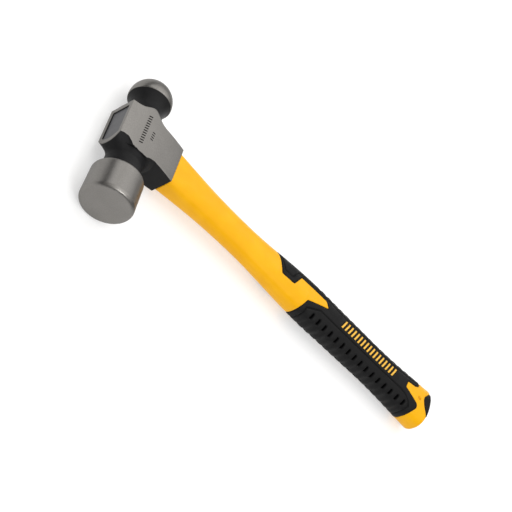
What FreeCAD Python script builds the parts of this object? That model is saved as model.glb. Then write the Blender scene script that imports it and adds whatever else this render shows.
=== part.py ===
import FreeCAD, Part
import math
import os
import Sketcher
from FreeCAD import Vector

# Ball peen hammer, lying on its side.
# Origin: centre of the flat striking face.
# +X runs down the handle towards the butt, +Y along the head towards the ball,
# +Z is the outward direction of the upper cheek.  Lengths are millimetres.

doc = FreeCAD.newDocument("ball_peen_hammer")
dims = doc.addObject("Spreadsheet::Sheet", "dims")

# ---------------------------------------------------------------- dimensions
VALUES = [
    # head: turned parts
    ("faceRadius", 21.3, "rim of the striking face"),
    ("faceFlat", 18.5, "flat inside the bevel"),
    ("faceBevel", 3.0, "depth of the rounded bevel"),
    ("faceRound", 3.6, "radius of the bevel"),
    ("pollRadius", 20.7, "back rim of the poll"),
    ("pollLength", 29.6, "length of the poll cylinder"),
    ("pollRound", 2.6, "rounding of the back rim"),
    ("neckRadius", 14.7, "waist of the face side neck"),
    ("neckWaist", 39.5, "distance of that waist from the face"),
    ("neckHollow", 14.3, "hollow behind the back rim"),
    ("neckSweep", 36.5, "sweep from the waist to the cheek tab"),
    ("neckTab", 16.4, "neck at the end of the cheek tab"),
    ("neckCurl", 9.0, "curl of the neck into the eye boss"),
    ("neckFlare", 19.0, "neck where it meets the eye boss"),
    ("ballNeckFlare", 18.4, "ball side neck at the eye boss"),
    ("ballNeckRadius", 13.9, "waist of the ball side neck"),
    ("ballNeckWaist", 99.6, "distance of that waist from the face"),
    ("ballNeckHollow", 16.4, "hollow of the ball side neck"),
    ("ballUnderside", 18.7, "hollow under the ball"),
    ("ballRadius", 17.75, "ball"),
    ("ballCentre", 112.2, "centre of the ball from the face"),
    # head: eye boss
    ("axisY", 70.9, "handle axis from the striking face"),
    ("bossNear", 54.2, "face side wall of the boss"),
    ("bossFar", 88.6, "ball side wall of the boss"),
    ("headTop", 19.9, "top of the head above the head axis"),
    ("headBottom", 37.8, "bottom of the skirt below the head axis"),
    ("cheekHalf", 14.6, "half thickness over the flat cheeks"),
    ("topHalf", 12.3, "half thickness at the top"),
    ("skirtHalf", 10.7, "half thickness at the skirt"),
    ("cheekTop", 11.0, "upper end of the flat cheek"),
    ("cheekBottom", 13.4, "lower end of the flat cheek"),
    ("crownTop", 19.0, "crown radius above the flat"),
    ("crownSkirt", 100.0, "crown radius below the flat"),
    ("bossRound", 1.0, "edges of the boss"),
    ("tabNear", 50.5, "cheek tab on the face side neck"),
    ("tabFar", 97.5, "cheek tab limit on the ball side neck"),
    ("bulgeDepth", 7.6, "depth of the bulge on the face side of the boss"),
    ("bulgeTopRound", 14.4, "arc of the bulge at the top"),
    ("bulgeLowHalf", 8.8, "half width of the bulge where it meets the neck"),
    ("bulgeLowRound", 9.4, "arc of the bulge where it meets the neck"),
    ("eyeNear", 56.2, "eye opening, face side"),
    ("eyeArc", 13.8, "arc of the bowed mouth of the eye, face side"),
    ("mouthDepth", 7.0, "depth of the bowed mouth"),
    ("eyeFar", 84.4, "eye opening, ball side"),
    ("eyeHalf", 8.9, "half thickness of the eye opening"),
    ("eyeCorner", 1.6, "corner radius of the eye"),
    ("eyeLead", 0.5, "lead-in chamfer at the top of the eye"),
    # core, bond
    ("coreHalfWidth", 11.0, "rod, half width along the head"),
    ("coreHalfThick", 6.2, "rod, half thickness"),
    ("coreRound", 5.6, "rod, corner radius"),
    ("coreTop", 16.2, "top of the rod above the head axis"),
    ("coreEnd", 334.0, "lower end of the rod"),
    ("bondTop", 18.8, "top of the bonding resin above the head axis"),
    ("spigotTop", 29.0, "where the jacket spigot starts inside the eye"),
    ("spigotFit", 0.15, "clearance of the spigot in the eye"),
    # handle
    ("buttEnd", 356.5, "end of the handle"),
    ("buttRound", 3.0, "rounding of the butt"),
    ("gripWall", 2.4, "thickness of the rubber grip"),
    ("grooveWidth", 1.0, "panel groove"),
    ("grooveDepth", 0.7, "panel groove"),
    ("patchHead", 163.9, "corner of the thumb patch nearest the head"),
    ("gripHead", 193.6, "head end of the main grip"),
    ("gripTail", 342.4, "butt end of the main grip"),
    ("panelHead", 198.7, "head end of the front panel groove"),
    ("panelTail", 335.2, "butt end of the front panel groove"),
    ("padBack", 13.6, "butt pad, towards the back"),
    ("padFront", 11.6, "butt pad, towards the front"),
    ("padReach", 9.5, "butt pad, reach from the end of the handle"),
    ("slotFirst", 208.1, "first grip slot"),
    ("slotPitch", 8.0, "spacing of the grip slots"),
    ("slotCount", 16, "slots in a row"),
    ("slotHalf", 1.15, "slot, half width along the handle"),
    ("slotReach", 2.9, "slot, half length around the handle"),
    ("slotAcross", 14.2, "slot centre from the handle axis, along the head"),
    ("slotHeight", 8.6, "slot centre above the handle axis"),
    ("slotTilt", 48, "lean of the slots on the shoulder of the oval"),
    ("slotDepth", 1.5, "slot depth"),
    ("barFirst", 237.6, "first inlay bar"),
    ("barPitch", 4.15, "spacing of the inlay bars"),
    ("barCount", 17, "inlay bars in a row"),
    ("barWidth", 1.9, "inlay bar along the handle"),
    ("barLow", -3.4, "inlay bar, lower end from the handle axis"),
    ("barHigh", 6.2, "inlay bar, upper end from the handle axis"),
    ("barLean", 4.4, "lean of the bars"),
    ("dimpleX", 341.8, "moulding dimple"),
    ("dimpleRadius", 1.8, "moulding dimple"),
    ("dimpleFloor", 12.8, "moulding dimple, floor above the handle axis"),
]

# handle stations: distance from the head axis, half width, half thickness,
# squareness of the oval (2 is an ellipse, higher is squarer)
STATIONS = [
    (37.8, 17.0, 10.5, 4.2),
    (48.0, 16.5, 10.9, 3.3),
    (62.0, 15.7, 11.1, 2.7),
    (85.0, 14.5, 10.6, 2.4),
    (112.0, 13.9, 10.2, 2.35),
    (136.0, 14.2, 10.4, 2.35),
    (160.0, 15.5, 11.4, 2.35),
    (185.0, 17.0, 12.5, 2.35),
    (208.0, 17.6, 12.9, 2.35),
    (235.0, 17.2, 12.6, 2.35),
    (262.0, 16.9, 12.4, 2.35),
    (290.0, 16.6, 12.2, 2.35),
    (318.0, 17.4, 12.8, 2.35),
    (340.0, 18.9, 13.8, 2.35),
    (356.5, 20.0, 14.6, 2.35),
]

row = 1
for alias, value, note in VALUES:
    dims.set("A%d" % row, alias)
    dims.set("B%d" % row, "%g" % value)
    dims.set("C%d" % row, note)
    dims.setAlias("B%d" % row, alias)
    row += 1
for i, (pos, wide, thick, square) in enumerate(STATIONS):
    for word, value in (("Pos", pos), ("Wide", wide), ("Thick", thick), ("Square", square)):
        alias = "station%s%c" % (word, ord("a") + i)
        dims.set("A%d" % row, alias)
        dims.set("B%d" % row, "%g" % value)
        dims.setAlias("B%d" % row, alias)
        row += 1
doc.recompute()


def cell(alias):
    return float(dims.get(alias))


def value_of(expr):
    """Number behind an expression written with bare cell names."""
    total, sign, word = 0.0, 1.0, ""
    for ch in expr + "+":
        if ch in "+-":
            if word.strip():
                w = word.strip()
                total += sign * (cell(w) if w[0].isalpha() else float(w))
            sign, word = (1.0 if ch == "+" else -1.0), ""
        else:
            word += ch
    return total


def bound(expr):
    """The same expression with the sheet name in front of each cell."""
    out, word = "", ""
    for ch in expr + " ":
        if ch.isalnum() or ch == ".":
            word += ch
        else:
            if word:
                out += ("dims." + word) if word[0].isalpha() else word
            word = ""
            out += ch
    return out.strip()


# ------------------------------------------------------------------- helpers
PLANES = {"XY": "XY_Plane", "XZ": "XZ_Plane", "YZ": "YZ_Plane"}


def plane_of(body, which):
    for feature in body.Origin.OriginFeatures:
        if feature.Role == PLANES[which]:
            return feature
    raise ValueError(which)


def axis_of(body, which):
    for feature in body.Origin.OriginFeatures:
        if feature.Role == which:
            return feature
    raise ValueError(which)


def new_body(name):
    body = doc.addObject("PartDesign::Body", name)
    return body


def new_sketch(body, name, which, offset=None):
    sk = body.newObject("Sketcher::SketchObject", name)
    sk.AttachmentSupport = (plane_of(body, which), [""])
    sk.MapMode = "FlatFace"
    if offset:
        sk.AttachmentOffset = FreeCAD.Placement(Vector(0, 0, value_of(offset)), FreeCAD.Rotation())
        sk.setExpression("AttachmentOffset.Base.z", bound(offset))
    return sk


def outline(sk, corners):
    """Closed profile.  Each corner is (u, v, edge): u and v are expressions,
    edge describes the run to the next corner: None for a line, or
    (radius expression, side), side +1 bulging to the left of the run, -1 to the right."""
    pts = [Vector(value_of(u), value_of(v), 0) for u, v, _ in corners]
    n = len(corners)
    ids, ends = [], []
    for i in range(n):
        p, q = pts[i], pts[(i + 1) % n]
        edge = corners[i][2]
        if edge is None:
            ids.append(sk.addGeometry(Part.LineSegment(p, q), False))
        else:
            radius, chord = value_of(edge[0]), q - p
            left = Vector(-chord.y, chord.x, 0)
            left.normalize()
            rise = math.sqrt(max(radius ** 2 - (chord.Length / 2) ** 2, 0))
            centre = (p + q) * 0.5 - left * (rise * edge[1])
            first, last = (q, p) if edge[1] > 0 else (p, q)
            a0 = math.atan2(first.y - centre.y, first.x - centre.x)
            a1 = math.atan2(last.y - centre.y, last.x - centre.x)
            a1 += 2 * math.pi if a1 < a0 else 0
            circle = Part.Circle(centre, Vector(0, 0, 1), radius)
            ids.append(sk.addGeometry(Part.ArcOfCircle(circle, a0, a1), False))
        near = (sk.getPoint(ids[-1], 1) - p).Length < 1e-6
        ends.append((1, 2) if near else (2, 1))
    for i in range(n):
        j = (i + 1) % n
        sk.addConstraint(Sketcher.Constraint("Coincident", ids[i], ends[i][1], ids[j], ends[j][0]))
    for i, (u, v, edge) in enumerate(corners):
        for word, expr, axis in (("DistanceX", u, -2), ("DistanceY", v, -1)):
            number = value_of(expr)
            if abs(number) < 1e-9:
                sk.addConstraint(Sketcher.Constraint("PointOnObject", ids[i], ends[i][0], axis))
            else:
                c = sk.addConstraint(Sketcher.Constraint(word, -1, 1, ids[i], ends[i][0], number))
                sk.setExpression("Constraints[%d]" % c, bound(expr))
        if edge is not None:
            c = sk.addConstraint(Sketcher.Constraint("Radius", ids[i], value_of(edge[0])))
            sk.setExpression("Constraints[%d]" % c, bound(edge[0]))
    return ids


def rounded(sk, u0, u1, v0, v1, radius):
    """Rounded rectangle from four lines and four corner arcs."""
    corners = [
        (u0 + "+" + radius, v0, None), (u1 + "-" + radius, v0, (radius, -1)),
        (u1, v0 + "+" + radius, None), (u1, v1 + "-" + radius, (radius, -1)),
        (u1 + "-" + radius, v1, None), (u0 + "+" + radius, v1, (radius, -1)),
        (u0, v1 + "-" + radius, None), (u0, v0 + "+" + radius, (radius, -1)),
    ]
    return outline(sk, corners)


def mouth_shape(sk, grow="0"):
    """Top outline of the eye, bowed towards the face, larger all round by the amount grow."""
    near, far = "eyeNear-" + grow, "eyeFar+" + grow
    low, high = "0-eyeHalf-" + grow, "eyeHalf+" + grow
    return outline(sk, [
        (near, low, None), (far + "-eyeCorner", low, ("eyeCorner", -1)),
        (far, low + "+eyeCorner", None), (far, high + "-eyeCorner", ("eyeCorner", -1)),
        (far + "-eyeCorner", high, None), (near, high, ("eyeArc", -1)),
    ])


def pad(body, name, sketch, length, both=True):
    feature = body.newObject("PartDesign::Pad", name)
    feature.Profile = sketch
    feature.Length = value_of(length)
    feature.setExpression("Length", bound(length))
    feature.Midplane = both
    sketch.Visibility = False
    return feature


def loft_sections(prefix, inset, first, last, end=None):
    """Oval sketches square to the handle, one per station, inset from the surface."""
    made = []
    for i in range(first, last + 1):
        tag = chr(ord("a") + i)
        wide = cell("stationWide" + tag) - inset
        thick = cell("stationThick" + tag) - inset
        square = cell("stationSquare" + tag)
        pts = []
        count = 24
        for k in range(count):
            t = 2 * math.pi * (k + 0.5) / count
            c, s = math.cos(t), math.sin(t)
            pts.append(Vector(wide * math.copysign(abs(c) ** (2 / square), c),
                              thick * math.copysign(abs(s) ** (2 / square), s), 0))
        curve = Part.BSplineCurve()
        steps = [k / count for k in range(count + 1)]
        curve.interpolate(Points=pts, PeriodicFlag=True, Parameters=steps)
        sk = doc.addObject("Sketcher::SketchObject", "%s_%s" % (prefix, tag))
        sk.addGeometry(curve, False)
        turn = FreeCAD.Rotation(Vector(0, 1, 0), Vector(0, 0, 1), Vector(1, 0, 0), "ZXY")
        sk.Placement = FreeCAD.Placement(Vector(0, 0, 0), turn)
        where = "stationPos" + tag if not (end and i == last) else end
        sk.setExpression("Placement.Base.x", bound(where))
        sk.setExpression("Placement.Base.y", "dims.axisY")
        made.append(sk)
    return made


def loft(name, sections):
    feature = doc.addObject("Part::Loft", name)
    feature.Sections = sections
    feature.Solid = True
    feature.Ruled = False
    feature.MaxDegree = 3
    for s in sections:
        s.Visibility = False
    return feature


def boolean(kind, name, base, tool):
    feature = doc.addObject("Part::" + kind, name)
    if kind == "MultiFuse":
        feature.Shapes = [base, tool]
    else:
        feature.Base = base
        feature.Tool = tool
    feature.Refine = False
    return feature


def check(feature):
    doc.recompute()
    bad = [s for s in feature.State if s in ("Invalid", "Error")]
    shape = feature.Shape
    if bad or shape.isNull() or not shape.isValid():
        raise RuntimeError("%s is not sound: %s" % (feature.Name, feature.State))
    return shape.Volume


# --------------------------------------------------------------- hammer head
ends = new_body("turned_ends")
profile = new_sketch(ends, "turned_profile", "XY")
outline(profile, [
    ("0", "0", None),
    ("faceFlat", "0", ("faceRound", -1)),
    ("faceRadius", "faceBevel", None),
    ("pollRadius", "pollLength-pollRound", ("pollRound", -1)),
    ("pollRadius-2", "pollLength", ("neckHollow", 1)),
    ("neckRadius", "neckWaist", ("neckSweep", 1)),
    ("neckTab", "tabNear", ("neckCurl", 1)),
    ("neckFlare", "bossNear", None),
    ("neckFlare", "bossNear+1.5", None),
    ("10", "bossNear+1.5", None),
    ("10", "bossFar-1.5", None),
    ("ballNeckFlare", "bossFar-1.5", None),
    ("ballNeckFlare", "bossFar-0.3", ("ballNeckHollow", 1)),
    ("ballNeckRadius", "ballNeckWaist", ("ballUnderside", 1)),
    ("ballRadius-0.15", "ballCentre-1.6", None),
    ("0", "ballCentre-1.6", None),
])
turned = ends.newObject("PartDesign::Revolution", "poll_necks_ball")
turned.Profile = profile
turned.ReferenceAxis = (axis_of(ends, "Y_Axis"), [""])
turned.Angle = 360
v_turned = check(turned)

volumes = [v_turned]
for tag, side in (("upper", ""), ("lower", "0-")):
    edge = side + "cheekHalf"
    past = edge + ("+12" if tag == "upper" else "-12")
    flats = new_sketch(ends, "tab_%s" % tag, "YZ")
    outline(flats, [
        ("tabNear", edge, None), ("tabFar", edge, None),
        ("tabFar", past, None), ("tabNear", past, None),
    ])
    cut = ends.newObject("PartDesign::Pocket", "cheek_tab_%s" % tag)
    cut.Profile = flats
    cut.Length = 60
    cut.Midplane = True
    volumes.append(check(cut))
if not volumes[2] < volumes[1] < volumes[0]:
    raise RuntimeError("the cheek tabs removed nothing")

boss = new_body("eye_boss")
crown = new_sketch(boss, "crowned_cheeks", "XZ", "0-bossFar")
outline(crown, [
    ("0-headTop", "0-topHalf", ("crownTop", -1)),
    ("0-cheekTop", "0-cheekHalf", None),
    ("cheekBottom", "0-cheekHalf", ("crownSkirt", -1)),
    ("headBottom", "0-skirtHalf", None),
    ("headBottom", "skirtHalf", ("crownSkirt", -1)),
    ("cheekBottom", "cheekHalf", None),
    ("0-cheekTop", "cheekHalf", ("crownTop", -1)),
    ("0-headTop", "topHalf", None),
])
block = pad(boss, "boss_block", crown, "bossFar-bossNear", both=False)
check(block)
trim = boss.newObject("PartDesign::Fillet", "boss_edges")
long_edges = []
for k, edge in enumerate(block.Shape.Edges):
    box = edge.BoundBox
    if box.YLength < 0.01 and box.XLength > 1:
        long_edges.append("Edge%d" % (k + 1))
trim.Base = (block, long_edges)
trim.Radius = cell("bossRound")
trim.setExpression("Radius", "dims.bossRound")
check(trim)
span = boss.Shape.BoundBox
if abs(span.YMin - cell("bossNear")) > 0.01 or abs(span.YMax - cell("bossFar")) > 0.01:
    raise RuntimeError("the boss is not where it should be")

bulge = new_body("boss_bulge")
top_arc = new_sketch(bulge, "bulge_top", "YZ", "0-headTop")
outline(top_arc, [
    ("bossNear+4", "0-topHalf+1", None),
    ("bossNear+4", "topHalf-1", None),
    ("bossNear-0.2", "topHalf-1", ("bulgeTopRound", -1)),
    ("bossNear-0.2", "0-topHalf+1", None),
])
low_arc = new_sketch(bulge, "bulge_low", "YZ", "0-headTop+bulgeDepth")
outline(low_arc, [
    ("bossNear+4", "0-bulgeLowHalf", None),
    ("bossNear+4", "bulgeLowHalf", None),
    ("bossNear-4", "bulgeLowHalf", ("bulgeLowRound", -1)),
    ("bossNear-4", "0-bulgeLowHalf", None),
])
swell = bulge.newObject("PartDesign::AdditiveLoft", "bulge_loft")
swell.Profile = top_arc
swell.Sections = [low_arc]
swell.Ruled = True
check(swell)

ball = doc.addObject("Part::Sphere", "ball")
ball.setExpression("Radius", "dims.ballRadius")
ball.Placement = FreeCAD.Placement(Vector(0, 0, 0), FreeCAD.Rotation(Vector(1, 0, 0), -90))
ball.setExpression("Placement.Base.y", "dims.ballCentre")
check(ball)

solid_head = doc.addObject("Part::MultiFuse", "head_forging")
solid_head.Shapes = [ends, boss, bulge, ball]
solid_head.Refine = True
v_solid = check(solid_head)
if len(solid_head.Shape.Solids) != 1:
    raise RuntimeError("the head is not one forging")

eye = new_body("eye_cutter")
eye_sketch = new_sketch(eye, "eye_outline", "YZ", "0-headTop-5")
rounded(eye_sketch, "eyeNear", "eyeFar", "0-eyeHalf", "eyeHalf", "eyeCorner")
eye_bar = pad(eye, "eye_bar", eye_sketch, "headTop+headBottom+10", both=False)
check(eye_bar)
mouth = new_body("eye_mouth_cutter")
mouth_sketch = new_sketch(mouth, "mouth_outline", "YZ", "0-headTop-5")
mouth_shape(mouth_sketch)
check(pad(mouth, "mouth_bar", mouth_sketch, "mouthDepth+5", both=False))
lead = new_body("eye_lead_cutter")
lead_top = new_sketch(lead, "lead_top", "YZ", "0-headTop-0.01")
mouth_shape(lead_top, "eyeLead")
lead_low = new_sketch(lead, "lead_low", "YZ", "0-headTop+eyeLead")
mouth_shape(lead_low)
lead_loft = lead.newObject("PartDesign::AdditiveLoft", "lead_loft")
lead_loft.Profile = lead_top
lead_loft.Sections = [lead_low]
lead_loft.Ruled = True
check(lead_loft)

opened = boolean("Cut", "head_with_eye", solid_head, eye)
v_eye = check(opened)
widened = boolean("Cut", "head_with_mouth", opened, mouth)
v_mouth = check(widened)
hammer_head = boolean("Cut", "hammer_head", widened, lead)
v_head = check(hammer_head)
if not v_head < v_mouth < v_eye < v_solid:
    raise RuntimeError("the eye removed nothing")

# ------------------------------------------------------ handle outer surface
last = len(STATIONS) - 1
outer_raw = loft("handle_surface_raw", loft_sections("outer", 0.0, 0, last))
check(outer_raw)
outer = doc.addObject("Part::Fillet", "handle_surface")
outer.Base = outer_raw
butt_edges = []
for k, edge in enumerate(outer_raw.Shape.Edges):
    box = edge.BoundBox
    if box.XLength < 0.01 and abs(box.XMin - cell("buttEnd")) < 0.1:
        butt_edges.append((k + 1, cell("buttRound"), cell("buttRound")))
outer.Edges = butt_edges
check(outer)
inner = loft("under_grip_surface", loft_sections("inner", cell("gripWall"), 4, last, "buttEnd-gripWall"))
check(inner)
groove_floor = loft("groove_floor_surface", loft_sections("groove", cell("grooveDepth"), 4, last))
check(groove_floor)


def flat_cutter(name, corners):
    """Prism through the whole thickness from an outline in the side view."""
    body = new_body(name)
    sk = new_sketch(body, name + "_outline", "XY")
    outline(sk, corners)
    check(pad(body, name + "_prism", sk, "60"))
    return body


# ------------------------------------------------- areas covered with rubber
zone = flat_cutter("grip_zone", [
    ("patchHead-14.4", "axisY+25", None),
    ("patchHead", "axisY-4.8", None),
    ("patchHead+14.4", "axisY-4.8", None),
    ("patchHead+20", "axisY+6", None),
    ("gripHead+21.5", "axisY+6", None),
    ("gripHead+25.3", "axisY+0.8", None),
    ("gripHead+2.6", "axisY-7.4", None),
    ("gripHead-0.2", "axisY-15.6", None),
    ("gripHead-2.4", "axisY-25", None),
    ("gripTail-6.6", "axisY-25", None),
    ("gripTail-2.6", "axisY-15.9", None),
    ("gripTail", "axisY-10.8", ("3", -1)),
    ("gripTail-1.6", "axisY-7.6", None),
    ("gripTail-18.2", "axisY-1.2", None),
    ("gripTail-16.9", "axisY+5.2", None),
    ("gripTail-7.5", "axisY+6.3", None),
    ("gripTail-3.4", "axisY+9.2", None),
    ("gripTail-1.7", "axisY+13", None),
    ("gripTail-1.7", "axisY+25", None),
])

bars = new_body("inlay_bars")
bar_sketch = new_sketch(bars, "bar_outline", "XY")
outline(bar_sketch, [
    ("barFirst", "axisY+barLow", None),
    ("barFirst+barWidth", "axisY+barLow", None),
    ("barFirst+barWidth+barLean", "axisY+barHigh", None),
    ("barFirst+barLean", "axisY+barHigh", None),
])
bar_pad = pad(bars, "bar", bar_sketch, "60")
check(bar_pad)
bar_row = bars.newObject("PartDesign::LinearPattern", "bar_row")
bar_row.Originals = [bar_pad]
bar_row.Direction = (axis_of(bars, "X_Axis"), [""])
bar_row.Length = cell("barPitch") * (cell("barCount") - 1)
bar_row.Occurrences = int(cell("barCount"))
bar_row.setExpression("Length", "dims.barPitch * (dims.barCount - 1)")
bar_row.setExpression("Occurrences", "dims.barCount")
bars.Tip = bar_row
check(bar_row)

pad_zone = flat_cutter("butt_pad_zone", [
    ("buttEnd+6", "axisY+padBack", None),
    ("buttEnd-1.5", "axisY+padBack", None),
    ("buttEnd-padReach+0.5", "axisY+4.4", None),
    ("buttEnd-padReach", "axisY+1.5", None),
    ("buttEnd-7", "axisY-5.2", None),
    ("buttEnd-0.8", "axisY-padFront", None),
    ("buttEnd+6", "axisY-padFront", None),
])

# ------------------------------------------------------------ rubber mouldings
zone_open = boolean("Cut", "grip_zone_less_bars", zone, bars)
check(zone_open)
grip_shell = boolean("Cut", "grip_shell_zone", zone_open, inner)
check(grip_shell)
grip_plain = boolean("Common", "grip_plain", outer, grip_shell)
v_grip_plain = check(grip_plain)
pad_shell = boolean("Cut", "butt_pad_shell_zone", pad_zone, inner)
check(pad_shell)
butt_pad = boolean("Common", "butt_pad", outer, pad_shell)
check(butt_pad)


def panel_ring(name, outside, inside):
    whole = flat_cutter(name + "_outside", outside)
    middle = flat_cutter(name + "_inside", inside)
    ring = boolean("Cut", name + "_ring", whole, middle)
    check(ring)
    return ring


front_ring = panel_ring("front_panel", [
    ("panelHead+0.6", "axisY-26", None), ("panelHead", "axisY-12.5", None),
    ("panelHead+13.7", "axisY-6.2", None), ("panelTail-16", "axisY-6.2", None),
    ("panelTail-8.4", "axisY-7.7", None), ("panelTail-2.8", "axisY-11.2", None),
    ("panelTail", "axisY-14.4", None), ("panelTail-1.2", "axisY-17", None),
    ("panelTail-4.8", "axisY-26", None),
], [
    ("panelHead+0.6+grooveWidth", "axisY-27", None), ("panelHead+grooveWidth", "axisY-13.2", None),
    ("panelHead+14", "axisY-6.2-grooveWidth", None), ("panelTail-16.2", "axisY-6.2-grooveWidth", None),
    ("panelTail-9", "axisY-7.7-grooveWidth", None), ("panelTail-3.4", "axisY-11.9-grooveWidth", None),
    ("panelTail-1.3", "axisY-14.6", None), ("panelTail-2.3", "axisY-16.8", None),
    ("panelTail-6", "axisY-27", None),
])
back_ring = panel_ring("back_panel", [
    ("patchHead-12.1", "axisY+26", None), ("patchHead-2.4", "axisY+5.3", None),
    ("patchHead+1.8", "axisY-0.6", None), ("patchHead+11.3", "axisY-0.8", None),
    ("patchHead+16.4", "axisY+8", None), ("gripHead+28.4", "axisY+8", None),
    ("gripHead+34.4", "axisY+7.2", None), ("gripTail-33.4", "axisY+7.4", None),
    ("gripTail-16.4", "axisY+8.9", None), ("gripTail-5.4", "axisY+9.9", None),
    ("gripTail-4.4", "axisY+11.5", None), ("gripTail-4.4", "axisY+26", None),
], [
    ("patchHead-11", "axisY+27", None), ("patchHead-1.3", "axisY+5.7", None),
    ("patchHead+2.4", "axisY+0.4", None), ("patchHead+10.7", "axisY+0.2", None),
    ("patchHead+15.8", "axisY+9", None), ("gripHead+28.6", "axisY+9", None),
    ("gripHead+34.6", "axisY+8.2", None), ("gripTail-33.4", "axisY+8.4", None),
    ("gripTail-16.5", "axisY+9.9", None), ("gripTail-6", "axisY+10.9", None),
    ("gripTail-5.4", "axisY+12", None), ("gripTail-5.4", "axisY+27", None),
])


# grip slots: a row of small prisms square to the shoulder of the oval
slot_body = new_body("slot_row")
slot_sketch = new_sketch(slot_body, "slot_outline", "XY", "0-slotDepth")
outline(slot_sketch, [
    ("0-slotHalf", "0-slotReach", None), ("slotHalf", "0-slotReach", None),
    ("slotHalf", "slotReach", None), ("0-slotHalf", "slotReach", None),
])
slot_pad = pad(slot_body, "slot", slot_sketch, "6", both=False)
slot_row = slot_body.newObject("PartDesign::LinearPattern", "slot_pattern")
slot_row.Originals = [slot_pad]
slot_row.Direction = (axis_of(slot_body, "X_Axis"), [""])
slot_row.Length = cell("slotPitch") * (cell("slotCount") - 1)
slot_row.Occurrences = int(cell("slotCount"))
slot_row.setExpression("Length", "dims.slotPitch * (dims.slotCount - 1)")
slot_row.setExpression("Occurrences", "dims.slotCount")
slot_body.Tip = slot_row
slot_tilt = FreeCAD.Rotation(Vector(1, 0, 0), cell("slotTilt"))
slot_body.Placement = FreeCAD.Placement(Vector(0, 0, 0), slot_tilt)
slot_body.setExpression("Placement.Base.x", "dims.slotFirst")
slot_body.setExpression("Placement.Base.y", "dims.axisY - dims.slotAcross")
slot_body.setExpression("Placement.Base.z", "dims.slotHeight")
check(slot_row)


def mirrored(name, source, normal, base):
    feature = doc.addObject("Part::Mirroring", name)
    feature.Source = source
    feature.Normal = normal
    feature.Base = base
    check(feature)
    return feature


centre = Vector(0, cell("axisY"), 0)
under_row = mirrored("slot_row_under", slot_body, Vector(0, 0, 1), centre)
back_row = mirrored("slot_row_back", slot_body, Vector(0, 1, 0), centre)
back_under_row = mirrored("slot_row_back_under", under_row, Vector(0, 1, 0), centre)
front_tool = boolean("Cut", "front_groove_tool", front_ring, groove_floor)
check(front_tool)
back_tool = boolean("Cut", "back_groove_tool", back_ring, groove_floor)
check(back_tool)
grip_front = boolean("Cut", "grip_front_grooved", grip_plain, front_tool)
v_front = check(grip_front)
grip_back = boolean("Cut", "grip_back_grooved", grip_front, back_tool)
v_back = check(grip_back)
slot_tools = doc.addObject("Part::Compound", "grip_slot_tools")
slot_tools.Links = [slot_body, under_row, back_row, back_under_row]
check(slot_tools)
grip = boolean("Cut", "grip", grip_back, slot_tools)
v_grip = check(grip)
if not v_grip < v_grip_plain - 800:
    raise RuntimeError("the grip texture removed nothing")

# ------------------------------------------------------------------ core rod
core = new_body("fibreglass_core")
core_sketch = new_sketch(core, "rod_outline", "YZ", "0-coreTop")
rounded(core_sketch, "axisY-coreHalfWidth", "axisY+coreHalfWidth",
        "0-coreHalfThick", "coreHalfThick", "coreRound")
rod = pad(core, "rod", core_sketch, "coreTop+coreEnd", both=False)
check(rod)

# ------------------------------------------------------------- handle jacket
spigot = new_body("jacket_spigot")
spigot_sketch = new_sketch(spigot, "spigot_outline", "YZ", "spigotTop")
rounded(spigot_sketch, "eyeNear+spigotFit", "eyeFar-spigotFit",
        "0-eyeHalf+spigotFit", "eyeHalf-spigotFit", "eyeCorner")
check(pad(spigot, "spigot", spigot_sketch, "headBottom-spigotTop+4", both=False))

jacket_solid = boolean("MultiFuse", "jacket_solid", outer, spigot)
v_jacket = check(jacket_solid)
jacket_a = boolean("Cut", "jacket_less_grip", jacket_solid, grip_shell)
v_a = check(jacket_a)
jacket_b = boolean("Cut", "jacket_less_pad", jacket_a, pad_shell)
v_b = check(jacket_b)
jacket_c = boolean("Cut", "jacket_bored", jacket_b, core)
v_c = check(jacket_c)
dimple = doc.addObject("Part::Cylinder", "dimple_cutter")
dimple.setExpression("Radius", "dims.dimpleRadius")
dimple.Height = 10
dimple.setExpression("Placement.Base.x", "dims.dimpleX")
dimple.setExpression("Placement.Base.y", "dims.axisY - 0.5")
dimple.setExpression("Placement.Base.z", "dims.dimpleFloor")
jacket_d = boolean("Cut", "jacket_dimpled", jacket_c, dimple)
v_d = check(jacket_d)
dimple_under = mirrored("dimple_under", dimple, Vector(0, 0, 1), centre)
handle_jacket = boolean("Cut", "handle_jacket", jacket_d, dimple_under)
check(handle_jacket)
if not v_d < v_c < v_b < v_a < v_jacket:
    raise RuntimeError("a cut in the jacket removed nothing")

# ------------------------------------------------------------- bonding resin
resin = new_body("bond_fill")
resin_sketch = new_sketch(resin, "fill_outline", "YZ", "0-bondTop")
rounded(resin_sketch, "eyeNear", "eyeFar", "0-eyeHalf", "eyeHalf", "eyeCorner")
check(pad(resin, "fill", resin_sketch, "bondTop+spigotTop", both=False))
cap = new_body("bond_mouth_fill")
cap_sketch = new_sketch(cap, "mouth_fill_outline", "YZ", "0-bondTop")
mouth_shape(cap_sketch)
check(pad(cap, "mouth_fill", cap_sketch, "bondTop-headTop+mouthDepth", both=False))
fill = boolean("MultiFuse", "bond_solid", resin, cap)
v_fill = check(fill)
eye_bond = boolean("Cut", "eye_bond", fill, core)
if not check(eye_bond) < v_fill:
    raise RuntimeError("the rod does not pass through the resin")

# -------------------------------------------------------------------- export
PIECES = [
    ("hammer_head", hammer_head), ("eye_bond", eye_bond), ("fibreglass_core", core),
    ("handle_jacket", handle_jacket), ("grip", grip), ("butt_pad", butt_pad),
]
doc.recompute()
os.makedirs("parts", exist_ok=True)
for name, feature in PIECES:
    check(feature)
    feature.Label = name
    if len(feature.Shape.Solids) != 1:
        raise RuntimeError("%s has %d solids" % (name, len(feature.Shape.Solids)))
    feature.Shape.exportStep("parts/%s.step" % name)
    print("%-16s volume %9.0f mm3" % (name, feature.Shape.Volume))
print("steel head mass %.0f g" % (hammer_head.Shape.Volume * 7.85e-3))
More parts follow.
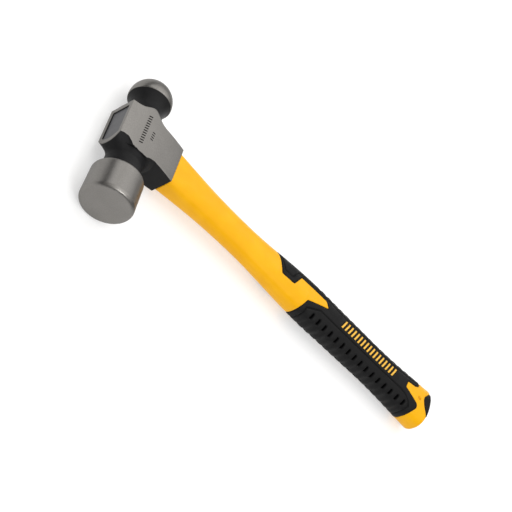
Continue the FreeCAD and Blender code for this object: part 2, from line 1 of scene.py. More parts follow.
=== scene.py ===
import math

import bpy
import numpy as np
from mathutils import Matrix, Vector


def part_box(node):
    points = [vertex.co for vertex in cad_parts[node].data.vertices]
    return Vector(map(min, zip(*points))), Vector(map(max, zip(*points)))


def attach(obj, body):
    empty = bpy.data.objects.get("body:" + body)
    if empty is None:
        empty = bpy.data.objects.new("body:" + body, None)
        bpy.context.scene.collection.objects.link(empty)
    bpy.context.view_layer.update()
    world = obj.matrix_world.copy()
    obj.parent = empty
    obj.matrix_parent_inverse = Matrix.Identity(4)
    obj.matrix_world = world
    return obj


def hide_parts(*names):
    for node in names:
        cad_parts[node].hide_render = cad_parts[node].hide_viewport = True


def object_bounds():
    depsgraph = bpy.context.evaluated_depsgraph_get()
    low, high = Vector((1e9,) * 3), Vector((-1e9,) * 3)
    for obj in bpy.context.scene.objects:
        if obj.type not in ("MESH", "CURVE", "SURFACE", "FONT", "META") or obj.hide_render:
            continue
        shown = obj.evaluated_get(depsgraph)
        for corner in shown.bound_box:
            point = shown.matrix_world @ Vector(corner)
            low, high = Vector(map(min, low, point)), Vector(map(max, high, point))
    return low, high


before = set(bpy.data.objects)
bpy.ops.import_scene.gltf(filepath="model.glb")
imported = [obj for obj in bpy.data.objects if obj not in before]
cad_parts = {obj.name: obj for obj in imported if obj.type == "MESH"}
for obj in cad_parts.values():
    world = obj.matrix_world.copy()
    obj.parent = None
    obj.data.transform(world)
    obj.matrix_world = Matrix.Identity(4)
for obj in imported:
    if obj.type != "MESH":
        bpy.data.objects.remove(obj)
before = [list(v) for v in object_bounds()]
MM = 0.001

# Ball peen hammer on its side.  Everything below is in millimetres until the mesh is made.
# X runs down the handle, Y along the head from the striking face, Z out of the upper cheek.

# ---------------------------------------------------------------- dimensions
# taken from the frame: the head's box and the end of the handle
HEAD_BOTTOM, BALL_END, FACE_R = (round(v / MM, 3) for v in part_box("hammer_head")[1])
BALL_R = 17.75
BALL_Y = BALL_END - BALL_R
BUTT = round(before[1][0] / MM, 3)

# head: distances along it are from the striking face, and distances down are from its axis
FACE_FLAT, FACE_BEVEL, FACE_ARC = 17.9, 3.2, 3.6      # flat radius, depth and arc of the bevel
POLL_R, POLL_LEN = 20.7, 29.6
POLL_EDGE_IN, POLL_EDGE_LONG, POLL_EDGE_ARC = 2.0, 2.4, 2.5
NECK_R, NECK_Y = 14.7, 39.5                           # waist between poll and eye boss
NECK_FLARE, NECK_ARC = 14.3, 36.5                     # arcs before and after the waist
TAB_R, ROOT_R, ROOT_ARC = 16.4, 19.0, 9.0             # neck radius at the cheek tabs, at the boss
BALL_NECK_R, BALL_NECK_Y = 13.9, 99.6                 # waist between eye boss and ball
BALL_ROOT_R, BALL_ROOT_ARC, BALL_FLARE = 18.4, 16.4, 18.7
BALL_RIM_IN, BALL_RIM_BACK = 0.05, 1.33               # where the flare meets the ball
CORE_R, OVERLAP = 10, 1.5                             # turned core that joins the two necks
AXIS_Y = 70.9                                         # handle axis
HEAD_TOP = 19.9                                       # upper end of the boss, above the head axis
BOSS_NEAR, BOSS_FAR = 54.2, 88.6
CHEEK, TOP_HALF, SKIRT_HALF = 14.6, 12.3, 10.7        # half thickness: middle, top and bottom
CROWN_TOP, CROWN_BOTTOM, CROWN_MID = 2.3, 2.0, 1.0    # powers of the cheek crown, and its middle
TAB_NEAR, TAB_FAR = 50.5, 97.5                        # how far the ground cheeks run
BULGE, BULGE_SLOPE, BULGE_HALF = 5.5, 0.75, 12.8      # swelling of the boss towards the poll
NECK_SQUASH, NECK_NARROW = 0.2, 0.26                  # how far the neck is from round
EYE_NEAR, EYE_FAR, EYE_HALF, EYE_LEAD = 56.2, 84.4, 8.9, 0.5
EYE_BOW, MOUTH_DEPTH = 3.25, 7.0                      # bowed mouth of the eye, face side
NECK_FILLET, BOSS_EDGE, GROUND_EDGE, EYE_CORNER = 2.6, 0.5, 0.2, 1.2

# handle
BUTT_ROUND = 3.0
STATIONS = [                       # distance, half width, half thickness, squareness
    (HEAD_BOTTOM, 17.0, 10.5, 4.2), (48.0, 16.5, 10.9, 3.3), (62.0, 15.7, 11.1, 2.7),
    (85.0, 14.5, 10.6, 2.4), (112.0, 13.9, 10.2, 2.35), (136.0, 14.2, 10.4, 2.35),
    (160.0, 15.5, 11.4, 2.35), (185.0, 17.0, 12.5, 2.35), (208.0, 17.6, 12.9, 2.35),
    (235.0, 17.2, 12.6, 2.35), (262.0, 16.9, 12.4, 2.35), (290.0, 16.6, 12.2, 2.35),
    (318.0, 17.4, 12.8, 2.35), (340.0, 18.9, 13.8, 2.35), (BUTT, 20.0, 14.6, 2.35),
]


# ------------------------------------------------------------- small geometry
def arc(p, q, radius, side, steps=24):
    """Points from p to q along an arc bulging left (+1) or right (-1) of the run."""
    p, q = np.array(p, float), np.array(q, float)
    chord = q - p
    half = np.linalg.norm(chord) / 2
    left = np.array([-chord[1], chord[0]]) / (2 * half)
    rise = math.sqrt(max(radius ** 2 - half ** 2, 0))
    c = (p + q) / 2 - left * rise * side
    a0 = math.atan2(*(p - c)[::-1])
    a1 = math.atan2(*(q - c)[::-1])
    turn = (a1 - a0 + math.pi) % (2 * math.pi) - math.pi
    t = np.linspace(0, 1, steps + 1)[:-1]
    return [c + radius * np.array([math.cos(a0 + turn * k), math.sin(a0 + turn * k)]) for k in t]


def path_distance(px, py, path, closed=True):
    """Distance from points to the nearest side of a polygon or open path."""
    path = np.asarray(path, float)
    best = np.full(px.shape, np.inf)
    n = len(path)
    for i in range(n if closed else n - 1):
        a, b = path[i], path[(i + 1) % n]
        d = b - a
        t = np.clip(((px - a[0]) * d[0] + (py - a[1]) * d[1]) / (d @ d), 0, 1)
        best = np.minimum(best, np.hypot(px - a[0] - t * d[0], py - a[1] - t * d[1]))
    return best


def inside(px, py, poly):
    """True where a point is inside the polygon."""
    hit = np.zeros(px.shape, bool)
    n = len(poly)
    for i in range(n):
        (x0, y0), (x1, y1) = poly[i], poly[(i + 1) % n]
        if y0 == y1:
            continue
        cross = ((y0 > py) != (y1 > py)) & (px < (x1 - x0) * (py - y0) / (y1 - y0) + x0)
        hit ^= cross
    return hit


def signed(px, py, poly):
    """Distance to the polygon's outline, negative inside."""
    distance = path_distance(px, py, poly)
    return np.where(inside(px, py, poly), -distance, distance)


def smax(a, b, k):
    """Larger of two distances, with the crease between them rounded over a width k."""
    h = np.clip(0.5 - 0.5 * (b - a) / k, 0, 1)
    return b * (1 - h) + a * h + k * h * (1 - h)


def smin(a, b, k):
    """Smaller of two distances, with the crease rounded."""
    return -smax(-a, -b, k)


def smooth(lo, hi, x):
    """0 at lo, 1 at hi, with an easy start and end."""
    t = np.clip((x - lo) / (hi - lo), 0, 1)
    return t * t * (3 - 2 * t)


# --------------------------------------------------------------- head surface
def turned_profile():
    """Both halves of the outline of poll, necks and ball: (radius, distance from the face)."""
    tab, root = (TAB_R, TAB_NEAR), (ROOT_R, BOSS_NEAR)
    waist, ball_waist = (NECK_R, NECK_Y), (BALL_NECK_R, BALL_NECK_Y)
    poll_edge = (POLL_R - POLL_EDGE_IN, POLL_LEN)
    ball_rim = (BALL_R - BALL_RIM_IN, BALL_Y - BALL_RIM_BACK)
    half = [(0, 0)]
    half += arc((FACE_FLAT, 0), (FACE_R, FACE_BEVEL), FACE_ARC, -1)
    half += [(FACE_R, FACE_BEVEL)]
    half += arc((POLL_R, POLL_LEN - POLL_EDGE_LONG), poll_edge, POLL_EDGE_ARC, -1)
    half += arc(poll_edge, waist, NECK_FLARE, 1)
    half += arc(waist, tab, NECK_ARC, 1)
    half += arc(tab, root, ROOT_ARC, 1)
    half += [root, (ROOT_R, BOSS_NEAR + OVERLAP), (CORE_R, BOSS_NEAR + OVERLAP)]
    half += [(CORE_R, BOSS_FAR - OVERLAP), (BALL_ROOT_R, BOSS_FAR - OVERLAP)]
    half += arc((BALL_ROOT_R, BOSS_FAR - 0.3), ball_waist, BALL_ROOT_ARC, 1)
    half += arc(ball_waist, ball_rim, BALL_FLARE, 1)
    half += arc(ball_rim, (0, BALL_Y + BALL_R), BALL_R, -1, 60)
    half += [(0, BALL_Y + BALL_R)]
    return np.array([(-r, y) for r, y in half[::-1] if r > 0] + [(r, y) for r, y in half])


# the turned outline's distances, looked up from a fine grid
GRID = 0.1
GRID_R, GRID_Y = np.arange(-1.0, 26.01, GRID), np.arange(-3.0, 133.01, GRID)
TURNED = signed(*np.meshgrid(GRID_R, GRID_Y, indexing="ij"), turned_profile())


def turned_sdf(r, y):
    """Distance to the turned parts of the head, at a radius and a distance from the face."""
    i = np.clip((r - GRID_R[0]) / GRID, 0, len(GRID_R) - 1.001)
    j = np.clip((y - GRID_Y[0]) / GRID, 0, len(GRID_Y) - 1.001)
    i0, j0 = i.astype(int), j.astype(int)
    fi, fj = i - i0, j - j0
    return ((TURNED[i0, j0] * (1 - fi) + TURNED[i0 + 1, j0] * fi) * (1 - fj)
            + (TURNED[i0, j0 + 1] * (1 - fi) + TURNED[i0 + 1, j0 + 1] * fi) * fj)


def cheek_half(x):
    """Half thickness of the crowned cheeks."""
    up = np.clip(CROWN_MID - x, 0, None) / (CROWN_MID + HEAD_TOP)
    down = np.clip(x - CROWN_MID, 0, None) / (HEAD_BOTTOM - CROWN_MID)
    return CHEEK - (CHEEK - TOP_HALF) * up ** CROWN_TOP - (CHEEK - SKIRT_HALF) * down ** CROWN_BOTTOM


def necks_and_ends(x, y, z):
    """Poll, necks and ball.  The face side neck is not quite round near the cheeks."""
    squash = smooth(NECK_Y + 1, TAB_NEAR - 1.2, y) * smooth(TAB_NEAR + 0.2, TAB_NEAR - 0.2, y)
    narrow = smooth(0, -6, x) * smooth(9, 13, np.abs(z)) * smooth(43, 49, y) * (y < AXIS_Y)
    return turned_sdf(np.hypot(x * (1 + NECK_NARROW * narrow), z * (1 + NECK_SQUASH * squash)), y)


def eye_boss(x, y, z):
    """Block round the eye, without its cheeks; its upper part swells towards the poll.

    The wall that bows is scaled down, here and in the eye, so that its slope stays near one."""
    rise = np.clip(x + HEAD_TOP, 0, 8)
    bow = 1 - np.clip(np.abs(z) / BULGE_HALF, 0, 1) ** 2.4
    swell = bow * (BULGE + 1 + BULGE_SLOPE * rise) * smooth(-3, -11, x) - smooth(-6, -9, x)
    walls = np.maximum((BOSS_NEAR - swell - y) * 0.8, y - BOSS_FAR)
    caps = np.maximum(-HEAD_TOP - x, x - HEAD_BOTTOM)
    return smax(walls, caps, BOSS_EDGE)


def eye_hole(x, y, z):
    """Eye, with a small lead-in at the top and a bowed mouth on the face side."""
    flare = np.clip(EYE_LEAD - (x + HEAD_TOP), 0, EYE_LEAD)
    bowed = EYE_BOW * (1 - (z / EYE_HALF) ** 2) * (x < MOUTH_DEPTH - HEAD_TOP)
    near = EYE_NEAR - bowed - flare
    sides = np.abs(z) - EYE_HALF - flare
    return smax(np.maximum((near - y) * 0.85, sides), y - EYE_FAR - flare, EYE_CORNER)


def head_sdf(x, y, z):
    """Distance to the forging, negative inside."""
    body = smin(eye_boss(x, y, z), necks_and_ends(x, y, z), NECK_FILLET)
    # the ground cheeks run on over the ends of the necks
    cheeks = np.abs(z) - cheek_half(x)
    reach = np.maximum(TAB_NEAR - y, y - TAB_FAR)
    body = smax(body, -np.maximum(reach, -cheeks), GROUND_EDGE)
    return smax(body, -eye_hole(x, y, z), GROUND_EDGE)


def unit(v):
    """Each row scaled to length one."""
    return v / (np.linalg.norm(v, axis=1)[:, None] + 1e-9)


def gradient(f, p, h=0.05):
    """Slope of f at each point, by differences over h."""
    g = np.empty_like(p)
    for k in range(3):
        a, b = p.copy(), p.copy()
        a[:, k] += h
        b[:, k] -= h
        g[:, k] = f(*a.T) - f(*b.T)
    return g / (2 * h)


def sample(f, axes):
    """Values of f on a grid, a few layers at a time."""
    layers = 16
    values = np.empty([len(a) for a in axes], np.float32)
    for i in range(0, len(axes[0]), layers):
        gx, gy, gz = np.meshgrid(axes[0][i:i + layers], axes[1], axes[2], indexing="ij")
        values[i:i + layers] = f(gx.ravel(), gy.ravel(), gz.ravel()).reshape(gx.shape)
    return values


def edge_crossings(values, cells, origin, step):
    """Where the surface cuts the edges of each cell: lists of cell numbers and points."""
    found = []
    for a in ((0, 0, 0), (1, 0, 0), (0, 1, 0), (0, 0, 1), (1, 1, 0), (1, 0, 1), (0, 1, 1)):
        for k in range(3):
            if a[k]:
                continue
            b = list(a)
            b[k] = 1
            at_a, at_b = values[tuple((cells + a).T)], values[tuple((cells + b).T)]
            cut = np.nonzero((at_a < 0) != (at_b < 0))[0]
            points = origin + (cells[cut] + a) * step
            points[:, k] += at_a[cut] / (at_a[cut] - at_b[cut]) * step
            found.append((cut, points))
    return found


def cell_points(f, found, count, step):
    """One point per cell, placed by least squares so that edges and corners stay sharp."""
    centre, hits = np.zeros((count, 3)), np.zeros(count)
    for cut, points in found:
        centre[cut] += points
        hits[cut] += 1
    centre /= hits[:, None]
    matrix, side = np.zeros((count, 3, 3)), np.zeros((count, 3))
    for cut, points in found:
        normal = unit(gradient(f, points))
        away = np.einsum("ij,ij->i", normal, points - centre[cut])
        np.add.at(matrix, cut, normal[:, :, None] * normal[:, None, :])
        np.add.at(side, cut, normal * away[:, None])
    matrix += np.eye(3) * 0.08                        # keeps flat cells near their centre
    shift = np.linalg.solve(matrix, side[:, :, None])[:, :, 0]
    points = centre + np.clip(shift, -step * 0.6, step * 0.6)
    for _ in range(2):                                # then pull them on to the surface
        slope = gradient(f, points)
        steep = np.einsum("ij,ij->i", slope, slope) + 1e-6
        move = slope * (f(*points.T) / steep)[:, None]
        points -= np.clip(move, -step * 0.4, step * 0.4)
    return points


def cell_quads(negative, index):
    """A quad across every grid edge that the surface cuts, facing out."""
    n = negative.shape
    quads = []
    for k, (u, v) in enumerate(((1, 2), (2, 0), (0, 1))):
        low = [slice(1, n[j] - 1) for j in range(3)]
        high = list(low)
        low[k], high[k] = slice(0, n[k] - 1), slice(1, n[k])
        a, b = negative[tuple(low)], negative[tuple(high)]
        base = np.argwhere(a != b)
        outward = a[tuple(base.T)]
        for j in (u, v):
            base[:, j] += 1
        ring = []
        for du, dv in ((1, 1), (0, 1), (0, 0), (1, 0)):
            corner = base.copy()
            corner[:, u] -= du
            corner[:, v] -= dv
            ring.append(index[tuple(corner.T)])
        ring = np.array(ring).T
        ring[~outward] = ring[~outward][:, ::-1]
        quads.append(ring)
    return np.vstack(quads)


def corner_normals(f, points, quads, h=0.04):
    """A normal per face corner.  Looked up a little way in from the corner, it keeps edges crisp."""
    corners = points[quads]
    inset = corners + (corners.mean(1, keepdims=True) - corners) * 0.3
    normals = unit(gradient(f, inset.reshape(-1, 3), h))
    shared = unit(gradient(f, points, h))[quads.ravel()]
    smooth_there = np.einsum("ij,ij->i", normals, shared) > 0.985
    normals[smooth_there] = shared[smooth_there]
    return normals


def contour(f, low, high, step):
    """Dual contouring of f = 0 on a regular grid.  Returns points, corner normals and quads."""
    axes = [np.arange(low[k], high[k] + step, step) for k in range(3)]
    values = sample(f, axes)
    negative = values < 0
    n = negative.shape
    count = np.zeros([k - 1 for k in n], np.int8)
    for a in (0, 1):
        for b in (0, 1):
            for c in (0, 1):
                count += negative[a:n[0] - 1 + a, b:n[1] - 1 + b, c:n[2] - 1 + c]
    crossed = (count > 0) & (count < 8)
    cells = np.argwhere(crossed)
    index = np.full(crossed.shape, -1, np.int64)
    index[crossed] = np.arange(len(cells))
    origin = np.array([a[0] for a in axes])
    points = cell_points(f, edge_crossings(values, cells, origin, step), len(cells), step)
    quads = cell_quads(negative, index)
    return points, corner_normals(f, points, quads), quads


def mesh_object(name, points, faces, normals=None, height=None):
    """Smooth object from points in millimetres and arrays of faces.

    height is a value per point, kept for the material to read."""
    mesh = bpy.data.meshes.new(name)
    points = np.asarray(points, float) * MM
    corners = np.concatenate([f.ravel() for f in faces])
    sizes = np.concatenate([np.full(len(f), f.shape[1]) for f in faces])
    mesh.vertices.add(len(points))
    mesh.vertices.foreach_set("co", points.ravel())
    mesh.loops.add(len(corners))
    mesh.loops.foreach_set("vertex_index", corners)
    mesh.polygons.add(len(sizes))
    mesh.polygons.foreach_set("loop_start", np.concatenate([[0], np.cumsum(sizes)[:-1]]))
    mesh.polygons.foreach_set("use_smooth", np.ones(len(sizes), bool))
    mesh.update(calc_edges=True)
    mesh.validate()
    if normals is not None:
        mesh.normals_split_custom_set(np.asarray(normals, float).tolist())
    if height is not None:
        mesh.attributes.new("height", "FLOAT", "POINT").data.foreach_set("value", height)
    obj = bpy.data.objects.new(name, mesh)
    bpy.context.scene.collection.objects.link(obj)
    return obj


def build_head():
    step = 0.42
    clear = 1.3                                       # room left round the head
    reach = FACE_R + clear
    points, normals, quads = contour(head_sdf, (-reach, -clear, -reach),
                                     (HEAD_BOTTOM + clear, BALL_END + clear, reach), step)
    return mesh_object("head_forging", points, [quads], normals)


head = build_head()


# ------------------------------------------------------------- handle surface
def station_curves():
    """Smooth half width, half thickness and squareness along the handle, every quarter millimetre."""
    xs, *columns = np.array(STATIONS).T
    fine = np.arange(xs[0], xs[-1] + 0.25, 0.25)
    i = np.clip(np.searchsorted(xs, fine, side="right") - 1, 0, len(xs) - 2)
    run = xs[i + 1] - xs[i]
    t = np.clip((fine - xs[i]) / run, 0, 1)
    curves = []
    for c in columns:
        slope = np.gradient(c, xs)
        curves.append((2 * t ** 3 - 3 * t ** 2 + 1) * c[i] + (t ** 3 - 2 * t ** 2 + t) * run * slope[i]
                      + (-2 * t ** 3 + 3 * t ** 2) * c[i + 1] + (t ** 3 - t ** 2) * run * slope[i + 1])
    return fine, curves


FINE, (WIDE, THICK, SQUARE) = station_curves()


def oval(x, theta, inset=0.0):
    """Point of the handle's squared oval at a distance and an angle."""
    a = np.interp(x, FINE, WIDE) - inset
    b = np.interp(x, FINE, THICK) - inset
    n = np.interp(x, FINE, SQUARE)
    c, s = np.cos(theta), np.sin(theta)
    return a * np.sign(c) * np.abs(c) ** (2 / n), b * np.sign(s) * np.abs(s) ** (2 / n)


# outlines seen from the side: (distance along the handle, offset towards the ball)
PATCH, GRIP_HEAD, GRIP_TAIL = 163.9, 193.6, 342.4
PANEL_HEAD, PANEL_TAIL = 198.7, 335.2
GRIP_ZONE = [
    (PATCH - 14.4, 25), (PATCH, -4.8), (PATCH + 14.4, -4.8), (PATCH + 20, 6), (GRIP_HEAD + 21.5, 6),
    (GRIP_HEAD + 25.3, 0.8), (GRIP_HEAD + 2.6, -7.4), (GRIP_HEAD - 0.2, -15.6), (GRIP_HEAD - 2.4, -25),
    (GRIP_TAIL - 6.6, -25), (GRIP_TAIL - 2.6, -15.9), (GRIP_TAIL, -10.8), (GRIP_TAIL - 1.6, -7.6),
    (GRIP_TAIL - 18.2, -1.2), (GRIP_TAIL - 16.9, 5.2), (GRIP_TAIL - 7.5, 6.3), (GRIP_TAIL - 3.4, 9.2),
    (GRIP_TAIL - 1.7, 13), (GRIP_TAIL - 1.7, 25),
]
PAD_ZONE = [
    (BUTT + 5, 14.5), (BUTT - 1.5, 13.6), (BUTT - 5.5, 9.0), (BUTT - 9.0, 4.4), (BUTT - 9.5, 1.5),
    (BUTT - 8.8, -1.4), (BUTT - 7.0, -5.2), (BUTT - 3.2, -9.4), (BUTT - 0.8, -11.6), (BUTT + 5, -11.6),
]
FRONT_LINE = [
    (PANEL_HEAD + 1.2, -26), (PANEL_HEAD + 0.5, -12.8), (PANEL_HEAD + 13.8, -6.7), (PANEL_TAIL - 16, -6.7),
    (PANEL_TAIL - 8.7, -8.2), (PANEL_TAIL - 3.1, -11.5), (PANEL_TAIL - 0.6, -14.5),
    (PANEL_TAIL - 1.7, -17), (PANEL_TAIL - 5.4, -26),
]
BACK_LINE = [
    (PATCH - 11.6, 26), (PATCH - 1.9, 5.5), (PATCH + 2.1, -0.1), (PATCH + 11, -0.3), (PATCH + 16.1, 8.5),
    (GRIP_HEAD + 28.5, 8.5), (GRIP_HEAD + 34.5, 7.7), (GRIP_TAIL - 33.4, 7.9), (GRIP_TAIL - 16.4, 9.4),
    (GRIP_TAIL - 5.7, 10.4), (GRIP_TAIL - 4.9, 11.8), (GRIP_TAIL - 4.9, 26),
]
SLOT_FIRST, SLOT_PITCH, SLOT_COUNT = 208.1, 8.0, 16
SLOT_ACROSS, SLOT_HALF = 14.4, 1.9                    # offset from the axis, and half length
SLOT_DEPTH, SLOT_R = 1.95, 1.65
RUBBER_STEP = 0.25                                    # rubber proud of the plastic
GUTTER, GUTTER_HALF = 0.55, 0.5                       # groove along the rubber's border
LINE_DEPTH, LINE_HALF = 1.0, 0.68                     # panel lines
RIPPLE, RIPPLE_END = 0.26, 332                        # waves on the two edges of the grip
WALL = 2.3                                            # thickness of the mouldings
DIMPLE_X, DIMPLE_Y, DIMPLE_R, DIMPLE_DEPTH = 341.8, -1.2, 1.9, 1.5
BAR_FIRST, BAR_PITCH, BAR_COUNT, BAR_WIDE, BAR_LEAN = 237.6, 4.15, 17, 1.9, 4.4
BAR_LOW, BAR_HIGH = -3.4, 6.2                         # offsets of the ends of the bars


def rounded_path(points, radius, steps=5):
    """The same closed outline with its corners rounded."""
    out = []
    n = len(points)
    for i in range(n):
        a, b, c = (np.array(points[(i + k) % n], float) for k in (-1, 0, 1))
        u, v = a - b, c - b
        lu, lv = np.linalg.norm(u), np.linalg.norm(v)
        cut = min(radius, lu * 0.45, lv * 0.45)
        p, q = b + u / lu * cut, b + v / lv * cut
        for k in range(steps + 1):
            t = k / steps
            out.append((1 - t) ** 2 * p + 2 * t * (1 - t) * b + t ** 2 * q)
    return np.array(out)


def bar(k):
    """Outline of one slanted bar of jacket plastic that shows through the grip."""
    x = BAR_FIRST + BAR_PITCH * k
    return rounded_path([(x, BAR_LOW), (x + BAR_WIDE, BAR_LOW), (x + BAR_WIDE + BAR_LEAN, BAR_HIGH),
                         (x + BAR_LEAN, BAR_HIGH)], 0.35, 3)


def rubber_border(x, y):
    """Signed distance to the nearest rubber border, negative in rubber.  Far away it is a large number."""
    zones = [(rounded_path(GRIP_ZONE, 1.3), 1, 3.0), (rounded_path(PAD_ZONE, 1.6), 1, 3.0)]
    zones += [(bar(k), -1, 1.5) for k in range(BAR_COUNT)]
    best = np.full(x.shape, 1e9)
    for outline, sign, reach in zones:
        low, high = outline.min(0) - reach, outline.max(0) + reach
        near = (x > low[0]) & (x < high[0]) & (y > low[1]) & (y < high[1])
        d = sign * signed(x[near], y[near], outline)
        best[near] = np.where(np.abs(d) < np.abs(best[near]), d, best[near])
    return best


def handle_rows(dx):
    """Rings of the handle: (distance, inset, scale).  Three at the head, the length, the rounded
    end, then rings that shrink to the middle of the end face."""
    rows = [(HEAD_BOTTOM, inset, 1.0) for inset in (4.0, 2.0, 0.5)]
    rows += [(x, 0.0, 1.0) for x in np.arange(HEAD_BOTTOM + 0.5, BUTT - BUTT_ROUND, dx)]
    for a in np.linspace(0, math.pi / 2, max(4, int(6 / dx)) + 1):
        rows.append((BUTT - BUTT_ROUND * (1 - math.sin(a)), BUTT_ROUND * (1 - math.cos(a)), 1.0))
    rows += [(BUTT, BUTT_ROUND, s) for s in np.linspace(1, 0.02, max(8, int(16 / dx)))[1:]]
    return rows


def handle_grid(rows, around):
    """Points on the rings, evenly spaced round each: distance, two offsets and arc length."""
    dense = np.linspace(0, 2 * np.pi, 1441)
    X = np.array([row[0] for row in rows])[:, None].repeat(around, 1)
    Y, Z, L = np.empty_like(X), np.empty_like(X), np.empty_like(X)
    for i, (x, inset, scale) in enumerate(rows):
        y, z = oval(np.full(dense.shape, x), dense, inset)
        length = np.concatenate([[0], np.cumsum(np.hypot(np.diff(y), np.diff(z)))])
        at = np.arange(around) / around * length[-1]
        Y[i], Z[i], L[i] = np.interp(at, length, y) * scale, np.interp(at, length, z) * scale, at
    return X, Y, Z, L


def bell(x):
    """Smooth bump, 1 in the middle."""
    return np.exp(-x ** 2)


def relief(X, Y, border):
    """Height above the plain oval from the rubber's step, its gutter and panel lines, the ripple
    along the edges of the grip and the moulding dimple."""
    h = np.where(border < 0, RUBBER_STEP * smooth(0.0, 1.2, -border), 0.0)
    h -= GUTTER * bell((border + 0.35) / GUTTER_HALF)
    for line in (FRONT_LINE, BACK_LINE):
        away = path_distance(X, Y, line, closed=False)
        h -= LINE_DEPTH * bell(away / LINE_HALF) * smooth(0.0, 0.6, -border)
    dimple = np.hypot(X - DIMPLE_X, Y - DIMPLE_Y) / DIMPLE_R
    h -= DIMPLE_DEPTH * np.sqrt(np.clip(1 - dimple ** 2, 0, 1))
    edge = smooth(12.0, 16.0, np.abs(Y)) * smooth(0.5, 2.5, -border)
    edge *= smooth(SLOT_FIRST - 6, SLOT_FIRST, X) * smooth(RIPPLE_END, RIPPLE_END - 6, X)
    return h - RIPPLE * np.cos(2 * np.pi * (X - SLOT_FIRST) / SLOT_PITCH) * edge


def slots(X, Y, L, on_body):
    """Height of the grip slots: short round-ended dents on the four shoulders of the oval."""
    h = np.zeros_like(X)
    girth = L[:, -1] + L[:, 1] - L[:, 0]
    upper = slice(0, X.shape[1] // 2)                 # upper half of the oval, back to front
    for i in np.nonzero(on_body)[0]:
        from_first = X[i, 0] - SLOT_FIRST
        k = round(from_first / SLOT_PITCH)
        along = abs(from_first - k * SLOT_PITCH)
        if k < 0 or k >= SLOT_COUNT or along > SLOT_R:
            continue
        for offset in (SLOT_ACROSS, -SLOT_ACROSS):
            above = np.interp(-offset, -Y[i, upper], L[i, upper])
            for centre in (above, girth[i] - above):
                across = np.abs(L[i] - centre)
                across = np.minimum(across, girth[i] - across)
                q = np.hypot(np.maximum(across - SLOT_HALF, 0), along)
                h[i] -= SLOT_DEPTH * (1 - smooth(0.3, SLOT_R, q))
    return h


def cut_at_border(quads, border, outer, inner):
    """Cut the faces that the rubber border crosses.

    Returns the whole faces, the cut triangles with their side (True in rubber) and the outer
    and inner points with the new border points added."""
    low, high = border[quads].min(1), border[quads].max(1)
    crossed = (low < 0) & (high >= 0)
    new, triangles, side = {}, [], []
    more_outer, more_inner = [], []

    def on_border(i, j):
        """Number of the border point between two corners, made the first time it is asked for."""
        i, j = min(i, j), max(i, j)
        if (i, j) not in new:
            t = min(max(border[i] / (border[i] - border[j]), 0.03), 0.97)
            new[i, j] = len(outer) + len(more_outer)
            more_outer.append(outer[i] * (1 - t) + outer[j] * t)
            more_inner.append(inner[i] * (1 - t) + inner[j] * t)
        return new[i, j]

    for a, b, c, d in quads[crossed]:
        for corners in ((a, b, c), (a, c, d)):
            soft = [border[k] < 0 for k in corners]
            if all(soft) or not any(soft):
                triangles.append(corners)
                side.append(soft[0])
                continue
            lone = soft.index(sum(soft) == 1)
            i, j, k = (corners[(lone + n) % 3] for n in range(3))
            p, q = on_border(i, j), on_border(i, k)
            triangles += [(i, p, q), (p, j, k), (p, k, q)]
            side += [soft[lone], not soft[lone], not soft[lone]]
    return (quads[~crossed], np.array(triangles), np.array(side),
            np.vstack([outer, more_outer]), np.vstack([inner, more_inner]))


def outward_normals(P, on_body):
    """Normals of the plain oval.  The end face looks down the handle and the first rings back."""
    normal = np.cross(np.gradient(P, axis=0), np.roll(P, -1, 1) - np.roll(P, 1, 1))
    normal /= np.linalg.norm(normal, axis=-1, keepdims=True) + 1e-9
    normal *= np.sign(normal[len(P) // 2, 0, 1])
    normal[~on_body] = (1, 0, 0)
    normal[:3] = (-1, 0, 0)
    return normal


def inner_surface(P, normal):
    """The inside of the moulding, one wall thickness in."""
    inner = P - normal * WALL
    order = 0.001 * np.arange(len(P))[:, None]        # keeps the first rings apart
    inner[..., 0] = np.clip(inner[..., 0], HEAD_BOTTOM + WALL + order, BUTT - WALL)
    angle = np.arctan2(P[0, :, 2], P[0, :, 1])
    inner[:3, :, 1:] = [np.stack(oval(HEAD_BOTTOM, angle, inset), -1) for inset in (4.0, 3.4, 2.8)]
    return inner


def build_handle():
    """Jacket, grip and pad: one surface, parted along the rubber's borders into closed shells."""
    dx, around = ((0.36, 290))
    rows = handle_rows(dx)
    on_body = np.array([scale >= 1 for _, _, scale in rows])
    X, Y, Z, L = handle_grid(rows, around)
    border = rubber_border(X, Y)
    h = relief(X, Y, border) + slots(X, Y, L, on_body)
    h[:3] = 0
    P = np.stack([X, Y, Z], -1)
    normal = outward_normals(P, on_body)
    outer, inner = P + normal * h[..., None], inner_surface(P, normal)
    for surface in (outer, inner):
        surface[..., 1] += AXIS_Y
    index = np.arange(X.size).reshape(X.shape)
    after = np.roll(index, -1, 1)
    quads = np.stack([index[:-1], after[:-1], after[1:], index[1:]], -1).reshape(-1, 4)
    flat = border.ravel()
    whole, parts, soft, outer, inner = cut_at_border(quads, flat, outer.reshape(-1, 3), inner.reshape(-1, 3))
    h = np.append(h.ravel(), np.zeros(len(outer) - h.size))
    tail = GRIP_TAIL + 2
    rubber, whole_tail = flat[whole].mean(1) < 0, X.ravel()[whole].mean(1) > tail
    parts_tail = outer[parts].mean(1)[:, 0] > tail
    made = {}
    for name, a, b in (("handle_jacket", ~rubber, ~soft), ("grip", rubber & ~whole_tail, soft & ~parts_tail),
                       ("butt_pad", rubber & whole_tail, soft & parts_tail)):
        faces = [whole[a], parts[b]]
        if name == "butt_pad":
            faces.append(index[-1:])                  # middle of the end face
        made[name] = shell(name, faces, outer, inner, h)
    return made


